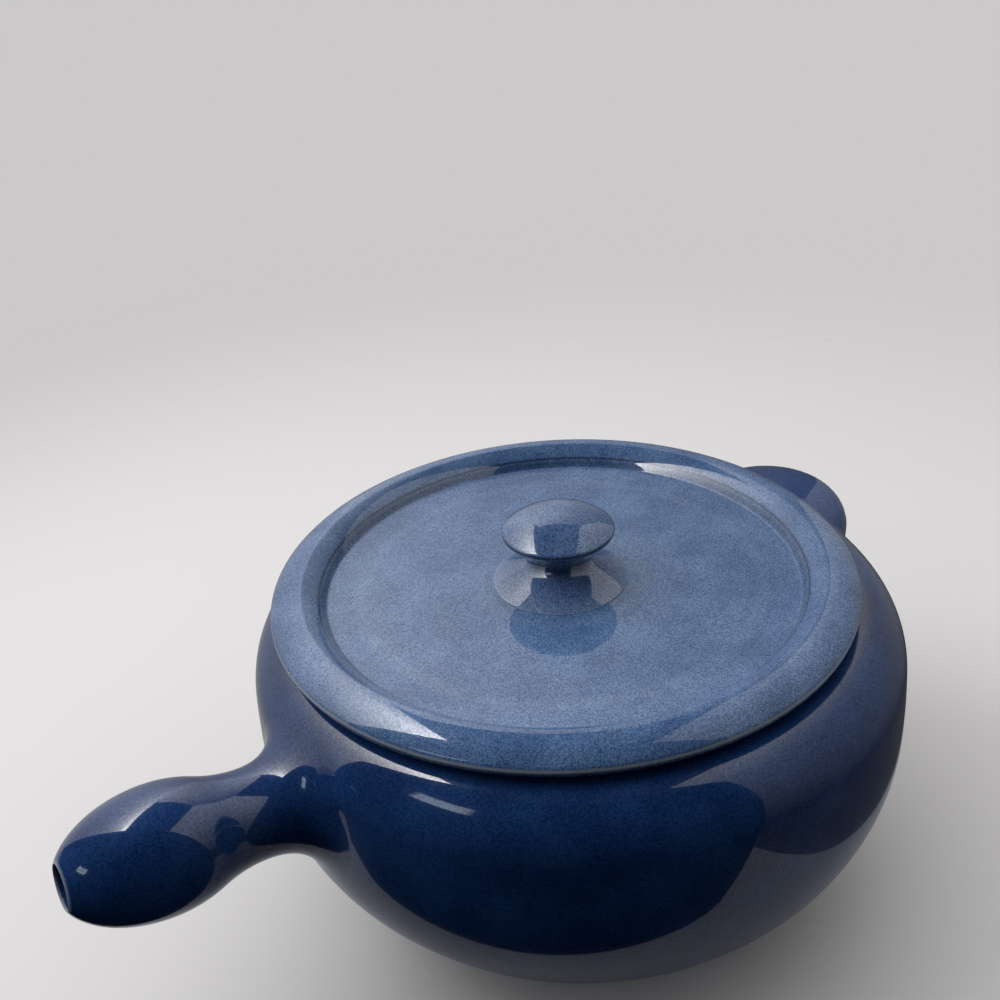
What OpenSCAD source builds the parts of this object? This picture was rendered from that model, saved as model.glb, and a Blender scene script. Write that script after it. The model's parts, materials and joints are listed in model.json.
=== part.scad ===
// Round stoneware casserole with a hollow side handle, a lug and a lift-off lid.
// Millimetres. The origin is the middle of the foot ring on the table, +Z is up,
// the side handle points towards -X and the lug towards +X.

/* [Pot] */
// Inside diameter of the mouth
mouth_d = 160; // [130:1:190]
// Distance from the mouth out to the middle of the shoulder's curve
rim_w = 9.3; // [8:0.1:14]
// Height of the flat rim that the lid rests on
rim_z = 111; // [104:0.5:122]
// Depth of the flat rim below the top that the shoulder's curve would reach
rim_drop = 2.5; // [1.5:0.25:4]
// Radius of the rounded shoulder
shoulder_r = 23.5; // [18:0.5:28]
// Radius of the nearly upright flank between belly and shoulder
flank_r = 250; // [200:5:400]
// Height of the widest line of the belly
belly_z = 71; // [62:0.5:78]
// Radius of the belly just below its widest line
belly_r = 64; // [58:1:72]
// Angle that the belly turns through before the flatter lower wall
belly_turn = 30; // [22:1:40]
// Radius of the lower wall
lower_r = 95; // [90:1:110]
// Wall thickness
wall = 6.5; // [5:0.25:8]
// Thickness of the floor inside
floor_t = 8; // [6:0.5:12]
// Height of the foot ring
foot_h = 4; // [2:0.5:7]
// Distance that the foot ring is set in from the wall above it
foot_inset = 4.5; // [2:0.25:8]
// Width of the foot ring
foot_w = 8; // [5:0.5:14]

/* [Lid] */
// Distance that the lid reaches out past the pot's rim
lid_overhang = 10.7; // [8:0.1:16]
// Height of the lid's outer edge above the pot's rim
edge_lift = 5.4; // [4:0.1:7]
// Radius of the lid's outer edge
edge_r = 1.6; // [1:0.1:2]
// Height of the rolled rim's crest above the outer edge
roll_h = 5.9; // [5:0.1:7.5]
// Distance from the outer edge in to the crest
roll_w = 10.6; // [9:0.1:12]
// Radius of the crest's inner side
crest_r = 1.6; // [1:0.1:2.2]
// Distance from the crest in to the foot of the dish's wall
dish_w = 8.2; // [7:0.1:9.5]
// Radius at the foot of the dish's wall
crease_r = 3; // [2:0.25:4]
// Width of the border that falls from there to the flat plate
border_w = 8.2; // [6:0.1:10]
// Height that the border falls by
border_h = 0.6; // [0.3:0.1:1.2]
// Depth of the plate below the outer edge
plate_drop = 2; // [1:0.1:3]
// Thickness of the plate
plate_t = 6; // [5:0.25:8]
// Width of the lid's flat seat outside the locating ring
seat_w = 17; // [14:0.5:20]
// Depth of the locating ring below the pot's rim
ring_depth = 7; // [5.5:0.25:11]
// Thickness of the locating ring
ring_t = 4.5; // [3.5:0.25:7]
// Room between the locating ring and the mouth, all round when centred
lid_play = 4; // [2:0.1:5]
// Room left on the side that the lid has slid to
side_gap = 0.4; // [0.2:0.1:1]
// Direction that the lid has slid in, from +X
slide_dir = 142.5; // [0:2.5:360]

/* [Knob] */
// Diameter of the knob's cap
cap_d = 38.6; // [34:0.2:46]
// Height of the cap's edge above the plate
cap_h = 19.1; // [18.2:0.1:24]
// Height of the cap's top above its edge
crown_h = 7.6; // [6:0.1:10]
// Depth of the cap's underside below its edge
under_h = 4.6; // [3:0.1:5.4]
// Radius of the cap's edge
cap_edge_r = 1.5; // [1:0.1:2.5]
// Diameter of the neck
neck_d = 18; // [15:0.5:22]
// Radius where the neck meets the cap
under_cap_r = 2; // [1:0.1:3]
// Diameter of the skirt at the plate
skirt_d = 47; // [42:0.5:54]
// Height of the skirt's edge
skirt_t = 0.3; // [0.2:0.1:1]
// Height at which the skirt's slope would meet the neck
skirt_h = 7; // [5:0.1:7.6]
// Radius where the neck meets the skirt
skirt_r = 6.5; // [4:0.1:7.5]

/* [Side handle] */
// Distance below the rim at which the handle's axis meets the belly
handle_drop = 28.5; // [26.5:0.5:33.5]
// Angle that the handle rises by
handle_rise = 8.8; // [4:0.2:14]
// Length from the belly to the tip
handle_len = 71.1; // [66:0.1:95]
// Diameter of the waist
waist_d = 28.6; // [26:0.2:32]
// Distance from the belly to the waist
waist_pos = 13.6; // [12:0.2:16]
// Radius of the flare that spreads onto the wall
flare_r = 20; // [17:0.5:22]
// Diameter of the flare where it ends
flare_d = 48; // [46:0.5:49]
// Radius of the hollow curve between waist and bulb
hollow_r = 40; // [30:1:60]
// Diameter of the bulb
bulb_d = 38.7; // [36:0.1:44]
// Distance from the belly to the widest part of the bulb
bulb_pos = 42.6; // [38:0.2:46]
// Diameter of the hole in the tip
hole_d = 13; // [11:0.2:15]
// Length of the straight wall of the hole
hole_len = 8; // [6:0.25:10]
// Wall thickness of the hollow handle
handle_wall = 5; // [4:0.25:6]

/* [Lug] */
// Width of the lug's round outline
lug_d = 72; // [60:0.5:80]
// Distance that the lug stands out past the belly
lug_reach = 13.6; // [10:0.2:20]
// Distance below the rim of the middle of the lug's outline
lug_drop = 15; // [13.5:0.5:21.5]
// Angle that the lug rises by
lug_rise = 15; // [5:1:20]
// Thickness of the lug at the middle of its outline
lug_t = 24; // [20:0.5:26]
// Radius of the lug's edge
lug_edge_r = 6; // [4:0.25:8]

/* [Joints] */
// Thickness of the slip that bonds the handles to the wall
slip_t = 0.1; // [0.05:0.05:0.3]

/* [Hidden] */
$fn = 128;
glaze_blue = [0.10, 0.16, 0.34];
knob_blue = [0.13, 0.20, 0.40];
// Distance that a cut runs past a face
past = 1;
// Largest angle of one straight step along an arc
arc_step = 6;

// The pot's outline: centres of its four arcs, from the shoulder down.
mouth_r = mouth_d / 2;
shoulder_c = [mouth_r + rim_w, rim_z + rim_drop - shoulder_r];
flank_turn = asin((shoulder_c.y - belly_z) / (flank_r - shoulder_r));
flank_c = shoulder_c - (flank_r - shoulder_r) * turned(flank_turn);
pot_r = flank_c.x + flank_r;
belly_c = [pot_r - belly_r, belly_z];
lower_c = belly_c - (lower_r - belly_r) * turned(-belly_turn);
floor_z = foot_h + floor_t;
foot_r = lower_x(0, foot_h) - foot_inset;

// The lid, in heights above the pot's rim.
lid_r = mouth_r + rim_w + lid_overhang;
crest_x = lid_r - roll_w;
crest_z = edge_lift + roll_h;
edge_c = [lid_r - edge_r, edge_lift + edge_r];
edge_drop = crest_z - edge_c.y;
edge_run = edge_c.x - crest_x;
crown_r = (edge_run ^ 2 / (edge_drop - edge_r) + edge_r + edge_drop) / 2;
crown_c = [crest_x, crest_z - crown_r];
crown_turn = angle(edge_c - crown_c);
plate_z = edge_lift - plate_drop;
crest_c = [crest_x, crest_z - crest_r];
crease = [crest_x - dish_w, plate_z + border_h];
crest_turn = 360 + angle(crease - crest_c) - acos(crest_r / norm(crease - crest_c));
crest_end = crest_c + crest_r * turned(crest_turn);
plate_edge = [crease.x - border_w, plate_z];
ring_r = mouth_r - lid_play;
ring_in = ring_r - ring_t;
lid_shift = (lid_play - side_gap) * turned(slide_dir);

// The knob, in heights above the plate.
cap_edge = [cap_d / 2 - cap_edge_r, cap_h];
cap_top_r = cap_face(crown_h);
cap_under_r = cap_face(under_h);
cap_top_c = [0, cap_h + crown_h - cap_top_r];
cap_under_c = [0, cap_h - under_h + cap_under_r];

// The side handle, as distance from its axis and distance along it from the belly.
waist_x = waist_d / 2;
bulb_x = bulb_d / 2;
hole_x = hole_d / 2;
bulb_turn = 2 * atan((bulb_x - waist_x) / (bulb_pos - waist_pos));
bulb_r = (bulb_pos - waist_pos) / sin(bulb_turn) - hollow_r;
flare_c = [waist_x + flare_r, waist_pos];
flare_turn = acos((flare_c.x - flare_d / 2) / flare_r);
hollow_c = [waist_x + hollow_r, waist_pos];
bulb_c = [bulb_x - bulb_r, bulb_pos];
tip_len = (handle_len - bulb_pos) / sqrt(1 - (hole_x / bulb_x) ^ 2);
handle_z = rim_z - handle_drop;
root_depth = pot_r / 3;
hole_start = handle_len - hole_len;
cavity_start = waist_pos / 2;

// The lug, turned about an upright axis that leans back by its rise.
lug_r = lug_d / 2;
lug_edge_x = lug_r - lug_edge_r;
lug_crown_r = (lug_edge_x ^ 2 / (lug_t / 2 - lug_edge_r) + lug_edge_r + lug_t / 2) / 2;
lug_x = pot_r + lug_reach - lug_r * cos(lug_rise);
lug_z = rim_z - lug_drop;

// Unit vector at an angle from the first axis.
function turned(a) = [cos(a), sin(a)];
// Angle of a vector from the first axis.
function angle(v) = atan2(v.y, v.x);
// Points of an arc about c from angle a to angle b, without the first one.
function arc(c, r, a, b) = [for (i = [1:steps(a, b)]) c + r * turned(a + (b - a) * i / steps(a, b))];
// Number of straight steps along an arc.
function steps(a, b) = max(1, ceil(abs(b - a) / arc_step));
// Distance of the lower wall from the axis at height z, inset by t.
function lower_x(t, z) = lower_c.x + sqrt((lower_r - t) ^ 2 - (z - lower_c.y) ^ 2);
// Radius of a face of the cap that stands h over the middle of its rounded edge.
function cap_face(h) = (cap_edge.x ^ 2 / (h - cap_edge_r) + cap_edge_r + h) / 2;
// Points of the handle's rounded tip, inset by t, from angle a to angle b.
function tip(t, a, b) = [for (i = [1:steps(a, b)]) let (u = a + (b - a) * i / steps(a, b))
  [(bulb_x - t) * cos(u), bulb_pos + (tip_len - t) * sin(u)]];
// Arc of radius r that eases the corner q between the straight lines to p and to s.
function eased(p, q, s, r) =
  let (
    u = (p - q) / norm(p - q),
    v = (s - q) / norm(s - q),
    half = acos(u * v) / 2,
    c = q + (u + v) / norm(u + v) * r / sin(half),
    first = q + u * r / tan(half),
    a = angle(first - c)
  )
  concat([first], arc(c, r, a, a - sign(cross(u, v)) * (180 - 2 * half)));

// Half section of the wall's face, inset by t, from height low up to the rim.
function pot_side(t, low) = concat(
  [[lower_x(t, low), low]],
  arc(lower_c, lower_r - t, asin((low - lower_c.y) / (lower_r - t)), -belly_turn),
  arc(belly_c, belly_r - t, -belly_turn, 0),
  arc(flank_c, flank_r - t, 0, flank_turn),
  arc(shoulder_c, shoulder_r - t, flank_turn, asin((rim_z - t - shoulder_c.y) / (shoulder_r - t)))
);

// The same points in the other order.
function reversed(points) = [for (i = [len(points) - 1:-1:0]) points[i]];

// Half section of a lens with a rounded edge, from its lowest point up.
function lens(edge_x, edge_radius, crown_radius, thick) =
  let (rise = crown_radius - thick / 2, turn = atan2(rise, edge_x))
  concat(
    [[0, -thick / 2]],
    arc([0, rise], crown_radius, -90, -turn),
    arc([edge_x, 0], edge_radius, -turn, turn),
    arc([0, -rise], crown_radius, turn, 90)
  );

// Moves along -X at the handle's height, with +Z along the handle's axis.
module at_handle() {
  translate([-pot_r, 0, handle_z]) rotate([0, handle_rise - 90, 0]) children();
}

// Everything inside the wall's outer face, with the slip that bonds a handle to it.
module pot_body() {
  rotate_extrude() polygon(concat([[0, foot_h]], pot_side(-slip_t, foot_h), [[0, rim_z + slip_t]]));
}

// Bowl with a turned-in rim, a rounded lip and a foot ring.
module pot() {
  lip_r = wall / 2;
  lip_c = [mouth_r + lip_r, rim_z - lip_r];
  recess_r = foot_r - foot_w;
  color(glaze_blue)
    rotate_extrude()
      polygon(concat(
        [[0, foot_h], [recess_r, foot_h], [recess_r, 0], [foot_r, 0], [foot_r, foot_h]],
        pot_side(0, foot_h),
        [[lip_c.x, rim_z]],
        arc(lip_c, lip_r, 90, 270),
        reversed(pot_side(wall, floor_z)),
        [[0, floor_z]]
      ));
}

// Hollow handle: a flare on the wall, a waist and a bulb with a hole in its tip.
module side_handle() {
  color(glaze_blue)
    difference() {
      at_handle()
        difference() {
          rotate_extrude() handle_outside();
          rotate_extrude() handle_inside();
          translate([0, 0, hole_start - past]) cylinder(r = hole_x, h = hole_len + 2 * past);
        }
      pot_body();
    }
}

module handle_outside() {
  polygon(concat(
    [[0, -root_depth], [flare_d / 2, -root_depth]],
    [flare_c + flare_r * turned(180 + flare_turn)],
    arc(flare_c, flare_r, 180 + flare_turn, 180),
    arc(hollow_c, hollow_r, 180, 180 - bulb_turn),
    arc(bulb_c, bulb_r, -bulb_turn, 0),
    tip(0, 0, acos(hole_x / bulb_x)),
    [[0, handle_len]]
  ));
}

// The space inside the handle, one wall thickness from its outside.
module handle_inside() {
  end_turn = asin((hole_start - bulb_pos) / (tip_len - handle_wall));
  polygon(concat(
    [[0, cavity_start], [waist_x - handle_wall, cavity_start], [waist_x - handle_wall, waist_pos]],
    arc(hollow_c, hollow_r + handle_wall, 180, 180 - bulb_turn),
    arc(bulb_c, bulb_r - handle_wall, -bulb_turn, 0),
    tip(handle_wall, 0, end_turn),
    [[0, hole_start]]
  ));
}

// Thick ear opposite the handle, for the other hand.
module lug_handle() {
  color(glaze_blue)
    difference() {
      translate([lug_x, 0, lug_z]) rotate([0, -lug_rise, 0])
        rotate_extrude() polygon(lens(lug_edge_x, lug_edge_r, lug_crown_r, lug_t));
      pot_body();
    }
}

// Dished lid with a rolled rim, a flat seat and a locating ring below.
module lid() {
  ring_c = [(ring_in + ring_r) / 2, ring_t / 2 - ring_depth];
  color(glaze_blue)
    translate([lid_shift.x, lid_shift.y, rim_z])
      rotate_extrude()
        polygon(concat(
          [[0, plate_z - plate_t], [ring_in, plate_z - plate_t], [ring_in, ring_c.y]],
          arc(ring_c, ring_t / 2, 180, 360),
          [[ring_r, 0], [ring_r + seat_w, 0], [edge_c.x, edge_lift]],
          arc(edge_c, edge_r, -90, crown_turn),
          arc(crown_c, crown_r, crown_turn, 90),
          arc(crest_c, crest_r, 90, crest_turn),
          eased(crest_end, crease, plate_edge, crease_r),
          [plate_edge, [0, plate_z]]
        ));
}

// Mushroom knob: a domed cap on a neck that stands on a low skirt.
module lid_knob() {
  neck_x = neck_d / 2;
  skirt_edge = [skirt_d / 2, skirt_t];
  neck_foot = [neck_x, skirt_h];
  under_x = neck_x + under_cap_r;
  under_c = [under_x, cap_under_c.y - sqrt((cap_under_r + under_cap_r) ^ 2 - under_x ^ 2)];
  under_turn = angle(cap_under_c - under_c);
  color(knob_blue)
    translate([lid_shift.x, lid_shift.y, rim_z + plate_z])
      rotate_extrude()
        polygon(concat(
          [[0, 0], [skirt_edge.x, 0], skirt_edge],
          eased(skirt_edge, neck_foot, [neck_x, cap_h], skirt_r),
          [[neck_x, under_c.y]],
          arc(under_c, under_cap_r, 180, under_turn),
          arc(cap_under_c, cap_under_r, under_turn - 180, angle(cap_edge - cap_under_c)),
          arc(cap_edge, cap_edge_r, angle(cap_edge - cap_under_c), angle(cap_edge - cap_top_c)),
          arc(cap_top_c, cap_top_r, angle(cap_edge - cap_top_c), 90)
        ));
}

pot();
side_handle();
lug_handle();
lid();
lid_knob();
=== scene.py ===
# %% [markdown]
# # A stoneware casserole
# A round pot with a hollow side handle, a lug for the other hand and a loose lid with a knob.
# All of it is fired clay under one dark blue glaze, so the looks depend on three things: smooth
# turned forms, joints that flow into the wall without a seam, and a glossy speckled glaze.
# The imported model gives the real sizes. Lengths below are millimetres, as a potter writes them.

# %% Load the frame
import json
import math

import bmesh
import bpy
import numpy as np
from mathutils import Matrix, Vector


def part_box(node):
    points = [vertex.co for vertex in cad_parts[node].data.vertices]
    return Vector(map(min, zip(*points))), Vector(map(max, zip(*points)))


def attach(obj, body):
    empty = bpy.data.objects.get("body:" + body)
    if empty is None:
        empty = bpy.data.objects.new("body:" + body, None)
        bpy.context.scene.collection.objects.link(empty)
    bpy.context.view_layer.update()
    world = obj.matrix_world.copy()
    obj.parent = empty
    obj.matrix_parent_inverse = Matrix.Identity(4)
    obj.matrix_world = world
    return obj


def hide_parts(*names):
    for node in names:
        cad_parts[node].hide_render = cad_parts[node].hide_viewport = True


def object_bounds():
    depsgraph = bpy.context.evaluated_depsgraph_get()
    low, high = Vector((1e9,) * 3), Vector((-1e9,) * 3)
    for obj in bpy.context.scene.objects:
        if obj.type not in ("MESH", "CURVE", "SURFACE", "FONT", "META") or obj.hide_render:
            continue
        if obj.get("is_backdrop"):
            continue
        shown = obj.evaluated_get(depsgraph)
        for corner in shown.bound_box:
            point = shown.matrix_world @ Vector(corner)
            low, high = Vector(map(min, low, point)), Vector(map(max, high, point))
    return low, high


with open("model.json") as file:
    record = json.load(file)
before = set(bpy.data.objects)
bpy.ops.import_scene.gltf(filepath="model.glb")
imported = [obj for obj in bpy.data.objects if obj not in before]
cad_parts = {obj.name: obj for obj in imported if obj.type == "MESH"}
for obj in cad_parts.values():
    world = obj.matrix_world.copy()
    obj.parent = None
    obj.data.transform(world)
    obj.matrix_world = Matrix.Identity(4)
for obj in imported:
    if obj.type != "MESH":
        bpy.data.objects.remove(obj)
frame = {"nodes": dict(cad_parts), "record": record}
cad_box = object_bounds()
scene = bpy.context.scene
METRE = 1000


def node_box(node):
    """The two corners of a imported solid's box, in millimetres."""
    low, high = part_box(node)
    return low * METRE, high * METRE


print("nodes:", ", ".join(sorted(frame["nodes"])))

# %% [markdown]
# ## Camera
# The photograph was taken from close by and a little to the handle's side, looking down, with the
# camera slightly rolled. A short distance makes the near handle large, so the place of the eye
# matters more than the lens. Three turns in a row, roll, tilt and heading, are easier to read
# than one set of Euler angles.

# %% Camera
EYE = Vector((-199.9, -254.4, 324.2)) / METRE
HEADING = math.radians(34.18)
TILT = math.radians(28.8)
ROLL = math.radians(-4.69)
LENS = 39.7

camera = bpy.data.objects.new("camera", bpy.data.cameras.new("camera"))
scene.collection.objects.link(camera)
camera.data.lens = LENS
camera.data.clip_start = 0.01
turn = Matrix.Rotation(-HEADING, 4, "Z") @ Matrix.Rotation(math.pi / 2 - TILT, 4, "X")
camera.matrix_world = Matrix.Translation(EYE) @ turn @ Matrix.Rotation(ROLL, 4, "Z")
scene.camera = camera
print("camera stands", round(EYE.length * METRE), "mm from the foot ring")

# %% [markdown]
# ## Node helpers
# Glaze, paper and room are all made of shader nodes. In the editor they are placed by hand, which
# is fine for a few of them. Here there are many, so short functions add one node, set its values
# by name and link it, and each gives back the socket that the next one needs.

# %% Node helpers
def add(tree, kind, **values):
    """A node whose properties and input sockets are set by name."""
    made = tree.nodes.new(kind)
    for name, value in values.items():
        if name in made.bl_rna.properties:
            setattr(made, name, value)
        else:
            made.inputs[name.replace("_", " ")].default_value = value
    return made


def join(tree, start, end):
    """A link between two sockets."""
    tree.links.new(start, end)


def remap(tree, value, low, high, to_low=0.0, to_high=1.0, smooth=False):
    """A Map Range node, clamped, from value's span low to high."""
    kind = "SMOOTHSTEP" if smooth else "LINEAR"
    node = add(tree, "ShaderNodeMapRange", interpolation_type=kind)
    node.inputs["From Min"].default_value = low
    node.inputs["From Max"].default_value = high
    node.inputs["To Min"].default_value = to_low
    node.inputs["To Max"].default_value = to_high
    join(tree, value, node.inputs["Value"])
    return node.outputs["Result"]


def maths(tree, operation, first, second=0):
    """A Math node of one or two inputs, each a socket or a number."""
    node = add(tree, "ShaderNodeMath", operation=operation)
    for socket, value in zip(node.inputs, (first, second)):
        if isinstance(value, (int, float)):
            socket.default_value = value
        else:
            join(tree, value, socket)
    return node.outputs[0]


def dot(tree, vector, direction):
    """How far a vector reaches along a fixed direction."""
    node = add(tree, "ShaderNodeVectorMath", operation="DOT_PRODUCT")
    join(tree, vector, node.inputs[0])
    node.inputs[1].default_value = direction
    return node.outputs["Value"]


def mixed(tree, factor, first, second):
    """A colour mix, each colour a socket or four numbers."""
    node = add(tree, "ShaderNodeMix", data_type="RGBA", clamp_factor=True)
    join(tree, factor, node.inputs["Factor"])
    for name, value in (("A", first), ("B", second)):
        socket = next(s for s in node.inputs if s.name == name and s.type == "RGBA")
        if isinstance(value, bpy.types.NodeSocket):
            join(tree, value, socket)
        else:
            socket.default_value = value
    return next(s for s in node.outputs if s.type == "RGBA")


# %% [markdown]
# ## Room
# A glossy dark glaze shows its surroundings more than its own colour, so the pot stands in a dark
# room with one small bluish pane of light. A picture of a room could be wrapped round it, but a
# few nodes are easier to move. The world places the pane for mirror rays by two angles in degrees,
# turned to the right of straight ahead and raised over the horizon. For light that the surface
# scatters it is a soft sky, brightest high on the left, with a weaker fill from the right. The
# camera itself sees a plain grey backdrop.

# %% Room
AWAY = Vector((math.sin(HEADING), math.cos(HEADING), 0))
RIGHT = Vector((math.cos(HEADING), -math.sin(HEADING), 0))
PANE_SIDES = (-141, -137, -121, -117)
PANE_HEIGHTS = (27, 29, 35, 37)
PANE_LIGHT = 4.5
PANE_COLOUR = (0.72, 0.86, 1.0, 1)
SKY_WAY = (RIGHT * -0.45 + AWAY * 0.48 + Vector((0, 0, 0.75))).normalized()
SKY_COLOUR = (1, 1, 1, 1)
SKY_SPAN = (0.2, 1.0)
SKY_LIGHT = (0.0, 1.85)
FILL_WAY = (RIGHT * 0.88 + AWAY * 0.45 + Vector((0, 0, 0.10))).normalized()
FILL_SPAN = (0.2, 1.0)
FILL_LIGHT = (0.0, 1.25)
BACKDROP = (0.60, 0.585, 0.585, 1)

world = bpy.data.worlds.new("paper_booth")
world.use_nodes = True
scene.world = world
tree = world.node_tree
tree.nodes.clear()
direction = add(tree, "ShaderNodeTexCoord").outputs["Generated"]
turned = maths(tree, "ARCTAN2", dot(tree, direction, RIGHT), dot(tree, direction, AWAY))
turned = maths(tree, "MULTIPLY", turned, math.degrees(1))
raised = maths(tree, "ARCSINE", dot(tree, direction, (0, 0, 1)))
raised = maths(tree, "MULTIPLY", raised, math.degrees(1))


def between(value, start, low, high, end):
    """1 from low to high, falling smoothly to 0 at start and end."""
    rise = remap(tree, value, start, low, smooth=True)
    return maths(tree, "MULTIPLY", rise, remap(tree, value, end, high, smooth=True))


pane = maths(tree, "MULTIPLY", between(turned, *PANE_SIDES), between(raised, *PANE_HEIGHTS))
sky = remap(tree, dot(tree, direction, SKY_WAY), *SKY_SPAN, *SKY_LIGHT, smooth=True)
fill = remap(tree, dot(tree, direction, FILL_WAY), *FILL_SPAN, *FILL_LIGHT, smooth=True)
path = add(tree, "ShaderNodeLightPath").outputs
strength = maths(tree, "MULTIPLY", maths(tree, "ADD", sky, fill), path["Is Diffuse Ray"])
light = add(tree, "ShaderNodeBackground")
join(tree, mixed(tree, pane, SKY_COLOUR, PANE_COLOUR), light.inputs["Color"])
strength = maths(tree, "ADD", strength, maths(tree, "MULTIPLY", pane, PANE_LIGHT))
join(tree, strength, light.inputs["Strength"])
backdrop = add(tree, "ShaderNodeBackground", Color=BACKDROP)
seen = add(tree, "ShaderNodeMixShader")
join(tree, path["Is Camera Ray"], seen.inputs[0])
join(tree, light.outputs[0], seen.inputs[1])
join(tree, backdrop.outputs[0], seen.inputs[2])
join(tree, seen.outputs[0], add(tree, "ShaderNodeOutputWorld").inputs["Surface"])
print("room:", len(tree.nodes), "nodes")

# %% [markdown]
# ## Paper sheets
# Three upright sheets of white paper stand close round the pot, and the glaze mirrors them: the
# left one, which a strong light behind it makes bright towards its front end and its top, the one
# at the back and the right one. They stand so near that a direction alone doesn't say where they
# appear, so they are real sheets. Only mirror rays see them, or they would hide the pot in other
# views. Each row below gives a sheet's ends and height, its light at the foot, the light that it
# gains towards the top and the power of that rise, and the share of the gain at each end with the
# bend between them.

# %% Paper sheets
PAPER = (1.0, 0.985, 0.97, 1)
FOLD_LEFT = (-130, 223)
FOLD_RIGHT = (167, 188)
END_LEFT = (-169, -86)
END_RIGHT = (128, -174)
LIGHT_FROM = 0.06
LIGHT_TO = 0.34
SHEETS = (
    ("sheet_left", FOLD_LEFT, END_LEFT, 415, 0.32, 18.5, 2.1, (0.17, 1.0), 2.0),
    ("sheet_back", FOLD_LEFT, FOLD_RIGHT, 500, 0.07, 0.85, 1.1, (3.4, 0.30), 0.8),
    ("sheet_right", FOLD_RIGHT, END_RIGHT, 500, 0.05, 2.1, 1.0, (0.8, 0.65), 2.0),
)


def paper_light(name, length, low, high, power, shares, bend):
    """Glowing paper: low at the foot, more towards the top, by shares from its start to its end."""
    material = bpy.data.materials.new(name)
    material.use_nodes = True
    tree = material.node_tree
    tree.nodes.clear()
    place = add(tree, "ShaderNodeTexCoord").outputs["Object"]
    climb = remap(tree, dot(tree, place, (0, 0, 1)), LIGHT_FROM, LIGHT_TO)
    climb = maths(tree, "MULTIPLY", maths(tree, "POWER", climb, power), high)
    share = remap(tree, dot(tree, place, (1, 0, 0)), 0, length)
    share = remap(tree, maths(tree, "POWER", share, bend), 0, 1, *shares)
    glow = add(tree, "ShaderNodeEmission", Color=PAPER)
    strength = maths(tree, "ADD", maths(tree, "MULTIPLY", climb, share), low)
    join(tree, strength, glow.inputs["Strength"])
    join(tree, glow.outputs[0], add(tree, "ShaderNodeOutputMaterial").inputs["Surface"])
    return material


for name, start, end, tall, low, high, power, shares, bend in SHEETS:
    first = (RIGHT * start[0] + AWAY * start[1]) / METRE
    last = (RIGHT * end[0] + AWAY * end[1]) / METRE
    along = last - first
    length = along.length
    top = tall / METRE
    mesh = bpy.data.meshes.new(name)
    corners = [(0, 0, 0), (length, 0, 0), (length, 0, top), (0, 0, top)]
    mesh.from_pydata(corners, [], [(0, 1, 2, 3)])
    mesh.materials.append(paper_light(name, length, low, high, power, shares, bend))
    sheet = bpy.data.objects.new(name, mesh)
    facing = along.to_track_quat("X", "Z").to_matrix().to_4x4()
    sheet.matrix_world = Matrix.Translation(first) @ facing
    sheet.visible_camera = False
    sheet.visible_diffuse = False
    sheet.visible_shadow = False
    scene.collection.objects.link(sheet)
    sheet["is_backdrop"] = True
    print(name, round(length * METRE), "mm long")

# %% [markdown]
# ## Floor
# The floor is matt white paper too. For mirror rays it ends where the sheets end, a finger's width
# in front of the pot, so that the belly mirrors the dark room there, and it is darker for them,
# because the pot shades it. Only the camera sees the rest of it. Two floors, one for the camera and
# one for the glaze, would do the same, but one sheet that asks which ray looks at it is simpler.

# %% Floor
FLOOR_SIZE = 8.0
FLOOR_EDGE = 0.001
FLOOR_FADE = (0.25, 0.75)
FLOOR_COLOUR = (0.54, 0.525, 0.525, 1)
FLOOR_MIRRORED = (0.30, 0.31, 0.34, 1)

mesh = bpy.data.meshes.new("floor")
half = FLOOR_SIZE / 2
corners = [(-half, -half, 0), (half, -half, 0), (half, half, 0), (-half, half, 0)]
mesh.from_pydata(corners, [], [(0, 1, 2, 3)])
floor = bpy.data.objects.new("floor", mesh)
scene.collection.objects.link(floor)
floor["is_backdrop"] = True

paper_sheet = bpy.data.materials.new("paper_sheet")
paper_sheet.use_nodes = True
tree = paper_sheet.node_tree
shader = tree.nodes["Principled BSDF"]
shader.inputs["Roughness"].default_value = 0.9
shader.inputs["Specular IOR Level"].default_value = 0.1
position = add(tree, "ShaderNodeNewGeometry").outputs["Position"]
front_left = (RIGHT * END_LEFT[0] + AWAY * END_LEFT[1]) / METRE
front_right = (RIGHT * END_RIGHT[0] + AWAY * END_RIGHT[1]) / METRE
front_way = (front_left - front_right).cross(Vector((0, 0, 1))).normalized()
front_way *= -math.copysign(1, front_way.dot(AWAY))
floor_end = front_left.dot(front_way)
in_front = remap(tree, dot(tree, position, front_way), floor_end, floor_end + FLOOR_EDGE)
seen = add(tree, "ShaderNodeLightPath").outputs["Is Camera Ray"]
join(tree, mixed(tree, seen, FLOOR_MIRRORED, FLOOR_COLOUR), shader.inputs["Base Color"])
unseen = maths(tree, "SUBTRACT", 1, seen)
distance = add(tree, "ShaderNodeVectorMath", operation="LENGTH")
join(tree, position, distance.inputs[0])
far = remap(tree, distance.outputs["Value"], *FLOOR_FADE, smooth=True)
far = maths(tree, "MULTIPLY", far, seen)
gone = maths(tree, "MAXIMUM", maths(tree, "MULTIPLY", in_front, unseen), far)
sheet_end = add(tree, "ShaderNodeMixShader")
join(tree, gone, sheet_end.inputs[0])
join(tree, shader.outputs[0], sheet_end.inputs[1])
join(tree, add(tree, "ShaderNodeBsdfTransparent").outputs[0], sheet_end.inputs[2])
join(tree, sheet_end.outputs[0], tree.nodes["Material Output"].inputs["Surface"])
floor.data.materials.append(paper_sheet)
print("floor ends", round(floor_end * METRE), "mm in front of the axis for mirror rays")

# %% [markdown]
# ## Lamp
# One soft lamp high on the left gives the pot a shadow on the floor. A sun lamp would give it a hard
# edge, so it is a wide area lamp. Mirror rays don't see it, because the sheets stand for it there.

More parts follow.
